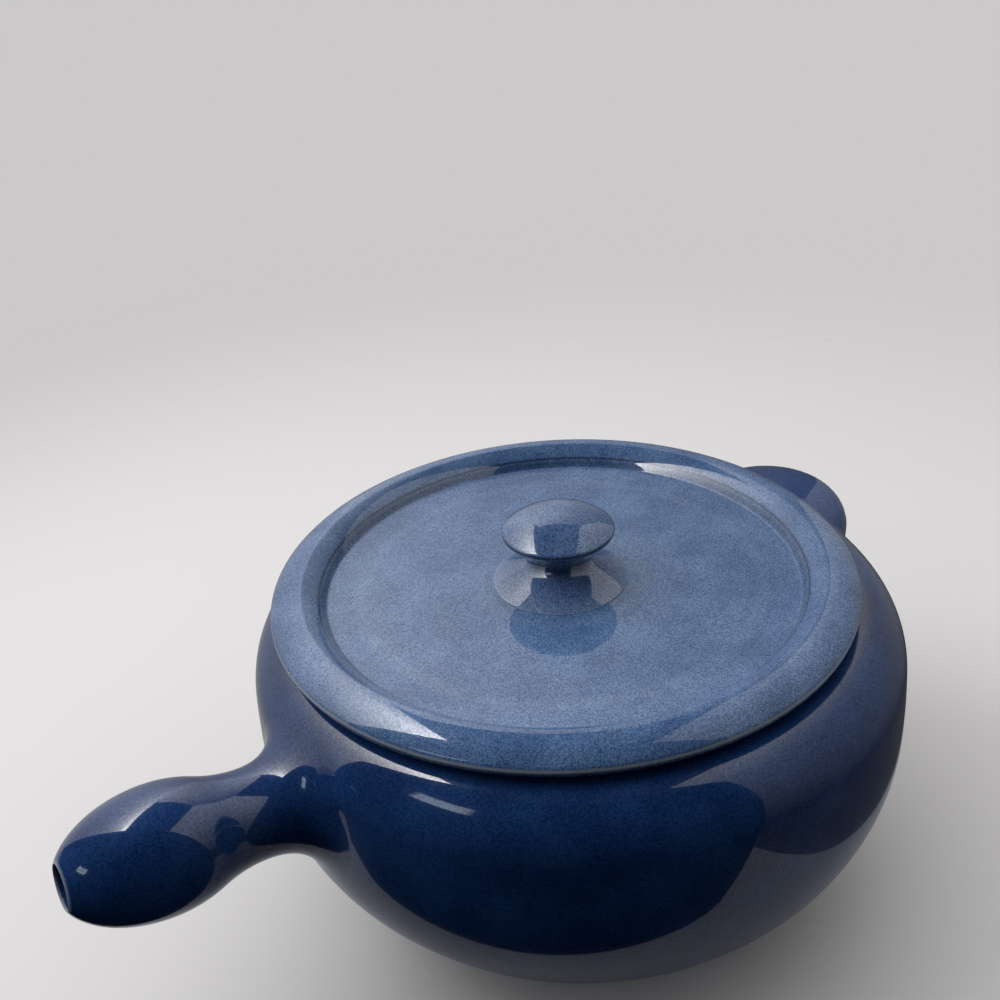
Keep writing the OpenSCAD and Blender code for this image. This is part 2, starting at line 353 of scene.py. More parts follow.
# %% Lamp
LAMP_BEARING = math.radians(-80)
LAMP_HEIGHT = math.radians(48)
LAMP_DISTANCE = 1.3
LAMP_SIZE = (0.9, 0.7)
LAMP_POWER = 7.0

lamp_data = bpy.data.lights.new("window", "AREA")
lamp_data.shape = "RECTANGLE"
lamp_data.size, lamp_data.size_y = LAMP_SIZE
lamp_data.energy = LAMP_POWER
lamp = bpy.data.objects.new("window", lamp_data)
scene.collection.objects.link(lamp)
towards = Vector((
    math.sin(HEADING + LAMP_BEARING) * math.cos(LAMP_HEIGHT),
    math.cos(HEADING + LAMP_BEARING) * math.cos(LAMP_HEIGHT),
    math.sin(LAMP_HEIGHT),
))
lamp.location = towards * LAMP_DISTANCE
lamp.visible_glossy = False
lamp.rotation_euler = towards.to_track_quat("Z", "Y").to_euler()
scene.view_settings.view_transform = "Standard"
print("lamp at", [round(v, 2) for v in lamp.location])

# %% [markdown]
# ## Turned forms
# Pot, lid and knob are thrown on a wheel, so each is half an outline turned about an axis. An
# outline is made of arcs, as a potter's template is. Blender has a Screw modifier for this, but
# building the rings in code lets every ring carry a number that says how thin the glaze runs
# there, or how much shade is painted there, which the glaze reads later.

# %% Outline helpers
def arc(centre, radius, start, end, step=4):
    """Points of an arc, with angles in degrees from the first axis."""
    count = max(2, math.ceil(abs(end - start) / step))
    angles = np.radians(np.linspace(start, end, count + 1))
    return [(centre[0] + radius * math.cos(a), centre[1] + radius * math.sin(a)) for a in angles]


def bearing_of(centre, point):
    """The angle in degrees at which a point lies from a centre."""
    return math.degrees(math.atan2(point[1] - centre[1], point[0] - centre[0]))


def eased_corner(before, corner, after, radius, step=6):
    """The arc that rounds a corner between two straight lines."""
    corner = np.array(corner, float)
    first = np.array(before, float) - corner
    last = np.array(after, float) - corner
    first /= np.linalg.norm(first)
    last /= np.linalg.norm(last)
    half_angle = math.acos(np.clip(first @ last, -1, 1)) / 2
    start = corner + first * radius / math.tan(half_angle)
    middle = first + last
    centre = corner + middle / np.linalg.norm(middle) * radius / math.sin(half_angle)
    begin = bearing_of(centre, start)
    sweep = 180 - 2 * math.degrees(half_angle)
    if first[0] * last[1] - first[1] * last[0] > 0:
        sweep = -sweep
    return arc(centre, radius, begin, begin + sweep, min(step, abs(sweep) / 4))


def rounded(corners):
    """An outline from (x, z, radius) corners. A radius of 0 keeps the point."""
    points = []
    for i, (x, z, radius) in enumerate(corners):
        if radius:
            points += eased_corner(corners[i - 1][:2], (x, z), corners[i + 1][:2], radius)
        else:
            points.append((x, z))
    return points


def thinned_or_shaded(outline, places):
    """Adds to each outline point how thin the glaze is or how dark the painted shade is: places are (x,
    z, reach, amount).

    An amount below 0 is painted shade, darkening a place where shade falls.
    """
    rows = []
    for x, z in outline:
        amount = 0.0
        for px, pz, reach, most in places:
            near = 1 - min(1, math.hypot(x - px, z - pz) / reach)
            amount = max(amount, most * near, key=abs)
        rows.append((x, z, amount))
    return rows


# %% [markdown]
# ## Meshes
# An outline is turned into rings of points, and the faces between them are quads. A spun curve would
# need less code, but here each point keeps its amount of thin glaze or painted shade as an attribute,
# and each face knows whether it is glazed or bare.

# %% Mesh helpers
THIN_OR_SHADE = "thin_glaze_or_painted_shade"
SHARP_ANGLE = math.radians(35)


def mesh_piece(name, points, faces, thin, bare=()):
    """A smooth mesh in metres from points in millimetres. Faces in bare take the second material."""
    mesh = bpy.data.meshes.new(name)
    mesh.from_pydata([tuple(p / METRE for p in point) for point in points], [], faces)
    attribute = mesh.attributes.new(THIN_OR_SHADE, "FLOAT", "POINT")
    attribute.data.foreach_set("value", np.array(thin, np.float32))
    for index in bare:
        mesh.polygons[index].material_index = 1
    work = bmesh.new()
    work.from_mesh(mesh)
    bmesh.ops.recalc_face_normals(work, faces=work.faces)
    work.to_mesh(mesh)
    work.free()
    mesh.polygons.foreach_set("use_smooth", [True] * len(mesh.polygons))
    mesh.set_sharp_from_angle(angle=SHARP_ANGLE)
    piece = bpy.data.objects.new(name, mesh)
    scene.collection.objects.link(piece)
    return piece


def grid_faces(rows, columns, first=0):
    """Quads between rings of vertices that follow one another."""
    faces = []
    for row in range(rows - 1):
        for column in range(columns):
            after = (column + 1) % columns
            a = first + row * columns
            b = a + columns
            faces.append((a + column, a + after, b + after, b + column))
    return faces


def turned_piece(name, rows, centre=(0, 0), columns=192, bare=None):
    """Turns rows of (radius, height, thin glaze or painted shade) about an upright axis. The first and
    last are on it.
    """
    angles = np.linspace(0, 2 * math.pi, columns, endpoint=False)
    points = []
    thin = []
    for radius, height, amount in rows[1:-1]:
        for a in angles:
            points.append((centre[0] + radius * math.cos(a), centre[1] + radius * math.sin(a), height))
            thin.append(amount)
    faces = grid_faces(len(rows) - 2, columns)
    unglazed = []
    if bare:
        for index in range(len(faces)):
            row = index // columns
            middle = (np.array(rows[row + 1][:2]) + np.array(rows[row + 2][:2])) / 2
            if bare(*middle):
                unglazed.append(index)
    for end, ring in ((rows[0], 0), (rows[-1], len(rows) - 3)):
        pole = len(points)
        points.append((centre[0], centre[1], end[1]))
        thin.append(end[2])
        start = ring * columns
        for column in range(columns):
            faces.append((pole, start + column, start + (column + 1) % columns))
    return mesh_piece(name, points, faces, thin, unglazed)


# %% [markdown]
# ## Pot
# The wall is four arcs that flow into each other: a lower wall, a belly, a nearly upright flank
# and a shoulder that turns in to the flat rim. Inside, the same arcs lie one wall thickness in. A
# few points under a smoothing modifier would be quicker, but arcs keep the bend even, and a glossy
# glaze shows every uneven bend. The foot ring stays unglazed, because a glazed foot would stick to
# the kiln shelf.

# %% Wall of the pot
pot_high = node_box("pot")[1]
RIM_Z = pot_high.z
MOUTH_R = 80
RIM_W = 9.2
SHOULDER_R = 23.5
FLANK_R = 250
BELLY_Z = 71
BELLY_R = 64
BELLY_TURN = 30
LOWER_R = 95
RIM_DROP = 3.2
RIM_EASE = 10


def moved(point, distance, angle):
    """The point at a distance from another, in a direction in degrees."""
    turn = math.radians(angle)
    return (point[0] + distance * math.cos(turn), point[1] + distance * math.sin(turn))


shoulder_c = (MOUTH_R + RIM_W, RIM_Z + RIM_DROP - SHOULDER_R)
rim_turn = math.degrees(math.asin((RIM_Z - RIM_EASE - shoulder_c[1]) / (SHOULDER_R - RIM_EASE)))
rim_c = moved(shoulder_c, SHOULDER_R - RIM_EASE, rim_turn)
flank_turn = math.degrees(math.asin((shoulder_c[1] - BELLY_Z) / (FLANK_R - SHOULDER_R)))
flank_c = moved(shoulder_c, SHOULDER_R - FLANK_R, flank_turn)
POT_R = flank_c[0] + FLANK_R
belly_c = (POT_R - BELLY_R, BELLY_Z)
lower_c = moved(belly_c, BELLY_R - LOWER_R, -BELLY_TURN)


def wall_outline(inset, low, step=3):
    """The wall's face from height low up to the rim, inset by some millimetres."""
    start = math.degrees(math.asin((low - lower_c[1]) / (LOWER_R - inset)))
    return (
        arc(lower_c, LOWER_R - inset, start, -BELLY_TURN, step)
        + arc(belly_c, BELLY_R - inset, -BELLY_TURN, 0, step)[1:]
        + arc(flank_c, FLANK_R - inset, 0, flank_turn, step / 4)[1:]
        + arc(shoulder_c, SHOULDER_R - inset, flank_turn, rim_turn, step)[1:]
        + arc(rim_c, RIM_EASE - inset, rim_turn, 90, step)[1:]
    )


print("belly:", round(2 * POT_R), "mm across")

# %% [markdown]
# The pot's outline runs from the middle of the underside over the foot ring, up the wall, over the
# lip and down the inside to the floor. A thickness modifier could make the inside from the outside,
# but then the lip and the foot would have the wrong form.

# %% Pot
WALL = 6.5
FOOT_H = 4
FLOOR_Z = 12
FOOT_INSET = 4.5
FOOT_W = 8
FOOT_ROUND = 1.0
FOOT_EASE = 0.6
UNDER_EASE = 0.2
UNDER_STEP = 2
FLOOR_RISE = 2.5
FLOOR_STEP = 1.5
FLOOR_ROUND = 3
FLOOR_MIDDLE = 20

outer = wall_outline(0, FOOT_H + FOOT_EASE)
inner = wall_outline(WALL, FLOOR_Z + FLOOR_RISE)[::-1]
foot_r = outer[0][0] - FOOT_INSET
lip_c = (MOUTH_R + WALL / 2, RIM_Z - WALL / 2)
pot_outline = (
    rounded([
        (0, FOOT_H, 0),
        (foot_r - FOOT_W - UNDER_STEP, FOOT_H, 0),
        (foot_r - FOOT_W, FOOT_H - UNDER_EASE, 0),
        (foot_r - FOOT_W, 0, FOOT_ROUND),
        (foot_r, 0, FOOT_ROUND),
        (foot_r, FOOT_H + UNDER_EASE, FOOT_EASE),
        (*outer[0], 0),
    ])
    + outer[1:]
    + arc(lip_c, WALL / 2, 90, 270, 12)
    + inner[:-1]
    + rounded([
        (*inner[-2], 0),
        (inner[-1][0] - FLOOR_STEP, FLOOR_Z, FLOOR_ROUND),
        (FLOOR_MIDDLE, FLOOR_Z, 0),
        (0, FLOOR_Z, 0),
    ])[1:]
)
pot = turned_piece(
    "pot_body",
    thinned_or_shaded(pot_outline, [(MOUTH_R, RIM_Z - 1.5, 4, 0.7)]),
    bare=lambda x, z: z < 1.2 and x < foot_r + 1,
)
print("pot:", len(pot.data.polygons), "faces")

# %% [markdown]
# ## Joints that flow
# A handle is stuck to the wall with wet clay, and the seam is smoothed with a thumb until the
# handle flows into the wall. A plain intersection of two meshes would leave a hard line there.
# Instead each line along the handle ends in a Bezier curve that leaves the handle along its own
# direction and lands on the wall in the wall's direction.

# %% Flare helpers
HALVINGS = 40
SUNK = 1.2
fine_wall = wall_outline(0, FOOT_H, 0.3)
wall_z = np.array([p[1] for p in fine_wall])
wall_r = np.array([p[0] for p in fine_wall])


def wall_radius(z):
    """The wall's distance from the axis at a height."""
    return float(np.interp(z, wall_z, wall_r))


def wall_normal(point):
    """Outward direction of the wall next to a point."""
    step = 0.2
    slope = (wall_radius(point.z + step) - wall_radius(point.z - step)) / (2 * step)
    outward = Vector((point.x, point.y, 0)).normalized()
    return Vector((outward.x, outward.y, -slope)).normalized()


def outside(point):
    """How far a point is outside the wall, measured level."""
    return math.hypot(point.x, point.y) - wall_radius(point.z)


def crossing(path, low, high, level=0.0):
    """The value between low, outside the wall by more than level, and high where path meets it."""
    for _ in range(HALVINGS):
        middle = (low + high) / 2
        if outside(path(middle)) > level:
            low = middle
        else:
            high = middle
    return (low + high) / 2


def flare(start, along, landing, rows=12, pull=0.42):
    """Points after start of the curve that lands on the wall."""
    normal = wall_normal(landing)
    chord = landing - start
    glide = (chord - chord.dot(normal) * normal).normalized()
    first = start + along * chord.length * pull
    second = landing - glide * chord.length * pull
    points = []
    for i in range(1, rows + 1):
        t = i / rows
        u = 1 - t
        points.append(u ** 3 * start + 3 * u * u * t * first + 3 * u * t * t * second + t ** 3 * landing)
    points.append(landing - normal * SUNK)
    return points


def lofted_piece(name, lines, first_pole, last_pole, thin_of):
    """A closed mesh from lines of points that run side by side round a form."""
    rows = len(lines[0])
    columns = len(lines)
    points = [lines[c][r] for r in range(rows) for c in range(columns)]
    faces = grid_faces(rows, columns)
    for pole, row in ((first_pole, 0), (last_pole, rows - 1)):
        points.append(pole)
        start = row * columns
        for column in range(columns):
            faces.append((len(points) - 1, start + column, start + (column + 1) % columns))
    thin = [thin_of(point) for point in points]
    return mesh_piece(name, points, faces, thin)


# %% [markdown]
# ## Side handle
# A hollow bulb, thrown like a small bottle, with a hole in its tip that lets the air out in the
# kiln. A ball joined to a tube would leave a crease, so it is one outline along the handle's axis:
# the inside, the hole, the round tip, the bulb and the waist. The axis, the hole and the tip come
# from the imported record.

# %% Outline of the handle
hole = next(m for m in frame["record"]["mounts"] if m["name"] == "handle_hole")
HOLE_R = hole["dims"]["r_mm"]
HOLE_LEN = hole["dims"]["length_mm"]
HANDLE_AXIS = Vector(hole["axis"]).normalized()
hole_middle = Vector(hole["pos_m"]) * METRE
HANDLE_BASE = hole_middle - HANDLE_AXIS * ((-POT_R - hole_middle.x) / -HANDLE_AXIS.x)
HANDLE_LEN = (hole_middle - HANDLE_BASE).length + HOLE_LEN / 2
WAIST_R = 14.3
WAIST_POS = 14.6
HOLLOW_R = 40
BULB_R = 19.35
BULB_POS = 42.6
TIP_POINTS = 24
TIP_EASE = 0.7
HOLE_LIP = ((0, 1.2), (0.1, 0.6), (0.3, 0.25))
CAVITY_R = 9
CAVITY_START = 24
CAVITY_EASE = 2
BULB_WALL = 6

bulb_turn = 2 * math.degrees(math.atan((BULB_R - WAIST_R) / (BULB_POS - WAIST_POS)))
bulb_arc = (BULB_POS - WAIST_POS) / math.sin(math.radians(bulb_turn)) - HOLLOW_R
tip_len = (HANDLE_LEN - BULB_POS) / math.sqrt(1 - (HOLE_R / BULB_R) ** 2)
tip_turn = math.acos((HOLE_R + TIP_EASE) / BULB_R)
tip_angles = np.linspace(tip_turn, 0, TIP_POINTS)
hole_start = HANDLE_LEN - HOLE_LEN
handle_outline = (
    [(CAVITY_R, CAVITY_START), (BULB_R - BULB_WALL, BULB_POS)]
    + [(HOLE_R + CAVITY_EASE, hole_start - CAVITY_EASE / 2), (HOLE_R, hole_start)]
    + [(HOLE_R + out, HANDLE_LEN - back) for out, back in HOLE_LIP]
    + [(BULB_R * math.cos(a), BULB_POS + tip_len * math.sin(a)) for a in tip_angles]
    + arc((BULB_R - bulb_arc, BULB_POS), bulb_arc, 0, -bulb_turn, 3)[1:]
    + arc((WAIST_R + HOLLOW_R, WAIST_POS), HOLLOW_R, 180 - bulb_turn, 180, 3)[1:]
)
print("handle outline:", len(handle_outline), "points")

# %% [markdown]
# The outline is turned about the axis, and at every angle the line goes on to the wall in a flare of
# its own, because the wall is round and the flare is not the same all the way round. The glaze runs
# thin at the edge of the hole, where it shows a pale line.

# %% Side handle
LANDING_R = 28
LANDING_RISE = -3
LANDING_SEARCH = (30, -40)
HANDLE_ROOT = 4
HANDLE_COLUMNS = 128
LIP_THIN = 0.8
LIP_REACH = 1.6

across = Vector((0, 1, 0))
upward = HANDLE_AXIS.cross(across)
if upward.z < 0:
    upward = -upward
handle_lines = []
for angle in np.linspace(0, 2 * math.pi, HANDLE_COLUMNS, endpoint=False):
    spoke = across * math.cos(angle) + upward * math.sin(angle)
    line = [HANDLE_BASE + HANDLE_AXIS * along + spoke * radius for radius, along in handle_outline]
    reach = LANDING_R + LANDING_RISE * max(0, math.sin(angle))
    beside = HANDLE_BASE + spoke * reach
    depth = crossing(lambda s: beside + HANDLE_AXIS * s, *LANDING_SEARCH)
    handle_lines.append(line + flare(line[-1], -HANDLE_AXIS, beside + HANDLE_AXIS * depth))


def handle_thin(point):
    """Pale at the edge of the hole, but not inside it."""
    offset = point - HANDLE_BASE
    along = offset.dot(HANDLE_AXIS)
    radius = (offset - HANDLE_AXIS * along).length
    if radius < HOLE_R + HOLE_LIP[1][0] / 2:
        return 0.0
    edge = math.hypot(radius - HOLE_R, along - HANDLE_LEN)
    return LIP_THIN * (1 - min(1, edge / LIP_REACH))


handle = lofted_piece(
    "handle_bulb",
    handle_lines,
    HANDLE_BASE + HANDLE_AXIS * CAVITY_START,
    HANDLE_BASE - HANDLE_AXIS * HANDLE_ROOT,
    handle_thin,
)
print("side handle:", round(HANDLE_LEN, 1), "mm long,", len(handle.data.polygons), "faces")

# %% [markdown]
# ## Lug
# The lug is a thick round ear, like a pebble pressed into the shoulder and leaning up. A flattened
# ball would do for the ear, but not for its two different bends, a flat crown and a tight edge, so
# its face is worked out: lines from a point inside the ear reach it at every angle.

# %% Face of the lug
lug_high = node_box("lug_handle")[1]
LUG_R = 36
LUG_T = 24
LUG_EDGE_R = 6
LUG_RISE = math.radians(15)
LUG_DROP = 15
LUG_TIP = 0.25

lug_out = Vector((math.cos(LUG_RISE), 0, math.sin(LUG_RISE)))
lug_up = Vector((-math.sin(LUG_RISE), 0, math.cos(LUG_RISE)))
lug_middle = Vector((lug_high.x - LUG_TIP - LUG_R * math.cos(LUG_RISE), 0, RIM_Z - LUG_DROP))
edge_x = LUG_R - LUG_EDGE_R
crown_r = (edge_x ** 2 / (LUG_T / 2 - LUG_EDGE_R) + LUG_EDGE_R + LUG_T / 2) / 2
touch_x = crown_r * math.sin(math.atan2(edge_x, crown_r - LUG_T / 2))
lug_heart = lug_middle + lug_out * LUG_R / 3


def half_thickness(x):
    """Half the ear's thickness at a distance from its middle."""
    if x > LUG_R:
        return -1.0
    if x > touch_x:
        return math.sqrt(LUG_EDGE_R ** 2 - (x - edge_x) ** 2)
    return math.sqrt(crown_r ** 2 - x ** 2) - crown_r + LUG_T / 2


def ear_point(way):
    """Where a line from the ear's heart leaves it."""
    low, high = 0.0, 2 * LUG_R
    for _ in range(HALVINGS):
        middle = (low + high) / 2
        point = lug_heart + way * middle
        offset = point - lug_middle
        height = offset.dot(lug_up)
        level = (offset - lug_up * height).length
        if abs(height) < half_thickness(level):
            low = middle
        else:
            high = middle
    return lug_heart + way * low


print("lug reaches", round(lug_high.x - LUG_TIP, 1), "mm from the axis")

# %% [markdown]
# Each line over the ear's face stops a little above the wall and ends in the same kind of flare as
# the handle, so that the ear grows out of the shoulder.

# %% Lug
LUG_COLUMNS = 112
LUG_ROWS = 22
FLARE_HEIGHT = 3.5
FLARE_WIDTH = 5.0
FLARE_ROWS = 8
EAR_TURN = math.radians(120)
JUST_BEFORE = 0.99
LUG_ROOT = 4

lug_lines = []
for angle in np.linspace(0, 2 * math.pi, LUG_COLUMNS, endpoint=False):
    spoke = across * math.cos(angle) + lug_up * math.sin(angle)

    def ear_line(turn):
        """The ear's face at an angle from its tip."""
        return ear_point(lug_out * math.cos(turn) + spoke * math.sin(turn))

    meets = crossing(ear_line, 0, EAR_TURN)
    leaves = crossing(ear_line, 0, meets, FLARE_HEIGHT)
    line = [ear_line(leaves * (i + 1) / LUG_ROWS) for i in range(LUG_ROWS)]
    root = ear_line(meets)
    normal = wall_normal(root)
    glide = root - lug_heart
    glide = (glide - glide.dot(normal) * normal).normalized()
    landing = root + glide * FLARE_WIDTH
    shrink = wall_radius(landing.z) / math.hypot(landing.x, landing.y)
    landing = Vector((landing.x * shrink, landing.y * shrink, landing.z))
    along = (line[-1] - ear_line(leaves * JUST_BEFORE)).normalized()
    lug_lines.append(line + flare(line[-1], along, landing, FLARE_ROWS))
lug_end = lug_heart - lug_out * LUG_ROOT
lug = lofted_piece("lug_ear", lug_lines, ear_point(lug_out), lug_end, lambda point: 0.0)
print("lug:", len(lug.data.polygons), "faces")

# %% [markdown]
# ## Lid
# A shallow dish with a rolled rim. From the outer edge in: a rounded edge where the glaze runs
# thin and pale, a long crown, a tight crest, a bowed wall down into the dish, a crease, and a
# plate with two faint turning rings. Half way down the bowed wall a dark line of painted shade lies,
# with a wider band of painted shade below it.
# Below are a seat without glaze and a ring that keeps the lid in the mouth. The rim could be a
# ring set on a disc, but on the wheel it is all one outline, and the gloss runs on over it.

# %% Arcs of the lid
lid_low, lid_high = node_box("lid")
knob_low, knob_high = node_box("lid_knob")
LID_C = ((lid_low.x + lid_high.x) / 2, (lid_low.y + lid_high.y) / 2)
LID_R = (lid_high.x - lid_low.x) / 2
CREST_Z = lid_high.z
PLATE_Z = knob_low.z
EDGE_Z = RIM_Z + 2.6
EDGE_R = 2.7
ROLL_W = 10.6
CREST_R = 1.6
CREASE_X = 81.2
CREASE_H = 0.6
CREASE_R = 1.0
BOW = 0.7

edge_c = (LID_R - EDGE_R, EDGE_Z + EDGE_R)
crest_c = (LID_R - ROLL_W, CREST_Z - CREST_R)
edge_drop = CREST_Z - edge_c[1]
edge_run = edge_c[0] - crest_c[0]
crown = (edge_run ** 2 / (edge_drop - EDGE_R) + EDGE_R + edge_drop) / 2
crown_c = (crest_c[0], CREST_Z - crown)
crown_turn = bearing_of(crown_c, edge_c)
crease = (CREASE_X, PLATE_Z + CREASE_H)
fall = math.hypot(crease[0] - crest_c[0], crease[1] - crest_c[1])
bow_turn = math.degrees(math.atan(4 * BOW / fall))
touch_turn = math.degrees(math.acos(CREST_R / fall)) + bow_turn
crest_turn = 360 + bearing_of(crest_c, crease) - touch_turn
crest_end = moved(crest_c, CREST_R, crest_turn)


def bowed(first, last, rise, count):
    """Points of a shallow bow from first to last that stands by rise over its chord, upward."""
    first, last = np.array(first), np.array(last)
    chord = last - first
    up = np.array((-chord[1], chord[0])) / np.linalg.norm(chord)
    up *= np.sign(up[1])
    shares = np.linspace(0, 1, count + 1)
    return [tuple(first + chord * t + up * rise * 4 * t * (1 - t)) for t in shares]


print("lid crest:", round(CREST_Z - PLATE_Z, 1), "mm over the plate")

# %% [markdown]
# The outline starts in the middle of the underside and goes round the ring, the seat and the rolled
# rim to the middle of the plate. The plate is flat, but it has many rings of points, because the two
# turning rings are only a change of the glaze, not of the form.

# %% Lid
WALL_POINTS = 16
# rows of the inner wall where painted shade lies: a dark line and a wider dark band
PAINTED_SHADE_ROW = 9
PAINTED_SHADE_BAND_ROW = 12
BORDER_X = 73
BORDER_STEPS = (78, 76.5, 75, 74)
PLATE_POINTS = 37
PLATE_T = 6
SEAT_END = 92
RING_R = 76
RING_T = 4.5
UNDER_MIDDLE = 30
MARKS = (69, 29)
MARK_REACH = 6
MARK_THIN = 0.10

inner_wall = bowed(crest_end, crease, BOW, WALL_POINTS)[1:-2]
border_slope = CREASE_H / (CREASE_X - BORDER_X)
border = [(x, PLATE_Z + border_slope * (x - BORDER_X)) for x in (*BORDER_STEPS, BORDER_X)]
plate = [(x, PLATE_Z) for x in np.linspace(BORDER_X - 1, 0, PLATE_POINTS)]
ring_c = (RING_R - RING_T / 2, lid_low.z + RING_T / 2)
under_z = PLATE_Z - PLATE_T
lid_outline = (
    rounded([
        (0, under_z, 0),
        (UNDER_MIDDLE, under_z, 0),
        (RING_R - RING_T, under_z, 2),
        (RING_R - RING_T, ring_c[1], 0),
    ])
    + arc(ring_c, RING_T / 2, 180, 360, 15)[1:]
    + rounded([
        (*ring_c, 0),
        (RING_R, RIM_Z, 0.6),
        (SEAT_END, RIM_Z, 1.5),
        (edge_c[0], EDGE_Z, 0),
    ])[1:-1]
    + arc(edge_c, EDGE_R, -80, crown_turn, 6)
    + arc(crown_c, crown, crown_turn, 90, 2)[1:]
    + arc(crest_c, CREST_R, 90, crest_turn, 6)[1:]
    + inner_wall
    + eased_corner(inner_wall[-1], crease, (BORDER_X, PLATE_Z), CREASE_R, 4)
    + border
    + plate
)
lid = turned_piece(
    "lid_dish",
    thinned_or_shaded(lid_outline, [
        (LID_R, edge_c[1] + 0.4, 0.9, 0.65),
        # painted shade: a dark line and, below it, a wider dark band on the inner wall, where it lies in
        # shade
        (*inner_wall[PAINTED_SHADE_ROW], 0.9, -0.7),
        (*inner_wall[PAINTED_SHADE_BAND_ROW], 2.4, -0.4),
        *((x, PLATE_Z, MARK_REACH, MARK_THIN) for x in MARKS),
        (RING_R - RING_T / 2, lid_low.z, 3, 0.4),
    ]),
    centre=LID_C,
    bare=lambda x, z: RING_R < x < SEAT_END - 0.5 and z < RIM_Z + 0.6,
)
print("lid:", round(2 * LID_R), "mm across,", len(lid.data.polygons), "faces")

# %% [markdown]
# ## Knob
# A lens-shaped cap on a neck that spreads into a bell-like skirt. The skirt is luted onto the
# plate, with a faint pale line round its edge. The cap's rim and the neck, which lie in the cap's
# shade, are darkened with painted shade. A ball squashed flat would pass for the cap from far away,
# but two shallow arcs and a small round between them give the real edge.

# %% Knob
SKIRT_R = (knob_high.x - knob_low.x) / 2
SKIRT_T = 0.3
SKIRT_H = 7
SKIRT_EDGE = 1
SKIRT_ROUND = 0.6
SKIRT_NECK_R = 6.5
NECK_X = 9
NECK_H = 14.5
UNDER_R = 2.0
CAP_X = 19.3
CAP_H = 19.1
CAP_EDGE_R = 1.5

cap_edge = (CAP_X - CAP_EDGE_R, PLATE_Z + CAP_H)


def lens_face(rise):
    """Radius of a cap's face that stands this far over the middle of its edge."""
    return (cap_edge[0] ** 2 / (rise - CAP_EDGE_R) + CAP_EDGE_R + rise) / 2


top_r = lens_face(knob_high.z - cap_edge[1])
top_c = (0, knob_high.z - top_r)
below_r = lens_face(CAP_H - NECK_H)
below_c = (0, PLATE_Z + NECK_H + below_r)


def below_cap(x):
    """A point of the cap's underside."""
    return (x, below_c[1] - math.sqrt(below_r ** 2 - x ** 2))


below_end = bearing_of(below_c, cap_edge)
top_start = bearing_of(top_c, cap_edge)
knob_outline = (
    [(0, PLATE_Z), (SKIRT_R - SKIRT_EDGE, PLATE_Z)]
    + [(SKIRT_R, PLATE_Z + SKIRT_T / 2), (SKIRT_R - SKIRT_ROUND, PLATE_Z + SKIRT_T)]
    + rounded([
        (SKIRT_R - SKIRT_EDGE, PLATE_Z + SKIRT_T, 0),
        (NECK_X, PLATE_Z + SKIRT_H, SKIRT_NECK_R),
        (*below_cap(NECK_X), UNDER_R),
        (*below_cap(cap_edge[0]), 0),
    ])[1:-1]
    + [p for p in arc(below_c, below_r, -90, below_end, 1.5) if p[0] > NECK_X + UNDER_R + 1]
    + arc(cap_edge, CAP_EDGE_R, below_end, top_start, 10)[1:]
    + arc(top_c, top_r, top_start, 90, 1.5)[1:]
)
knob = turned_piece(
    "knob_mushroom",
    thinned_or_shaded(knob_outline, [
        (SKIRT_R, PLATE_Z, 1.6, 0.2),
        # painted shade: dark at the cap's rim and on the neck, which lie in the cap's shade
        (CAP_X, cap_edge[1], 0.9, -0.7),
        (NECK_X, PLATE_Z + SKIRT_H + 1, 3.5, -0.6),
    ]),
    centre=LID_C,
    columns=128,
)
print("knob:", round(knob_high.z - knob_low.z, 1), "mm high,", len(knob.data.polygons), "faces")

# %% [markdown]
# ## Glaze
# The glaze is a deep blue glass full of fine pale grains, as if sand lay in it, with slow changes
# of tone where it ran thicker or thinner. On edges it runs thin and pale. A few dark places are
# painted shade, put where shade falls. A picture of a glaze could be wrapped on, but noise in the
# object's own coordinates has no seam, keeps the grains at their real size and runs on across the
# joints. All pieces share it, so it is one node group. The grains also break the gloss a little.

# %% Sockets of the glaze
GIVEN_COLOURS = {
    "Deep": (0.01, 0.03, 0.1, 1),
    "Body": (0.03, 0.07, 0.2, 1),
    "Grain": (0.2, 0.3, 0.5, 1),
    "Edge": (0.5, 0.5, 0.5, 1),
}


def group_socket(group, name, kind, way, value=None):
    """An input or output of a node group."""
    socket = group.interface.new_socket(name=name, in_out=way, socket_type=kind)
    if value is not None:
        socket.default_value = value


glaze_group = bpy.data.node_groups.new("glaze_grain", "ShaderNodeTree")
for name, colour in GIVEN_COLOURS.items():
    group_socket(glaze_group, name, "NodeSocketColor", "INPUT", colour)
group_socket(glaze_group, "Amount", "NodeSocketFloat", "INPUT", 0.5)
group_socket(glaze_group, "Colour", "NodeSocketColor", "OUTPUT")
for name in ("Thin", "Grains", "Height", "Gloss"):
    group_socket(glaze_group, name, "NodeSocketFloat", "OUTPUT")
print("glaze group:", len(glaze_group.interface.items_tree), "sockets")

# %% [markdown]
# Slow noise mixes the deep colour with the body colour. Fine noise and small cells of random value
# make the sandy grains, and the same fine noise frays the edges of the thin places and of the
# painted shade, which the attribute of the mesh tells. The height is a slow wave with a trace of the
# grains.

# %% Pattern of the glaze
GRAIN_SCALE = 2200
SAND_SCALE = 2600
MOTTLE_SCALE = 50
WAVE_SCALE = 26
MOTTLE_SPAN = (0.34, 0.66)
MOTTLE_GRAIN = (0.75, 1.2)
SAND_SHARE = 0.3
SANDY_SPAN = (0.48, 0.82)
RAGGED_EDGE = 0.8
THIN_SPAN = (0.05, 0.95)
# painted shade: a near black navy that the glaze takes where the attribute is below 0, where shade falls
PAINTED_SHADE_SPAN = (-0.10, -0.75)
PAINTED_SHADE_COLOUR = (0.006, 0.013, 0.032, 1)
GRAIN_HEIGHT = 0.05
GLOSS = (0.6, 1.0)

tree = glaze_group
given = add(tree, "NodeGroupInput").outputs
place = add(tree, "ShaderNodeTexCoord").outputs["Object"]


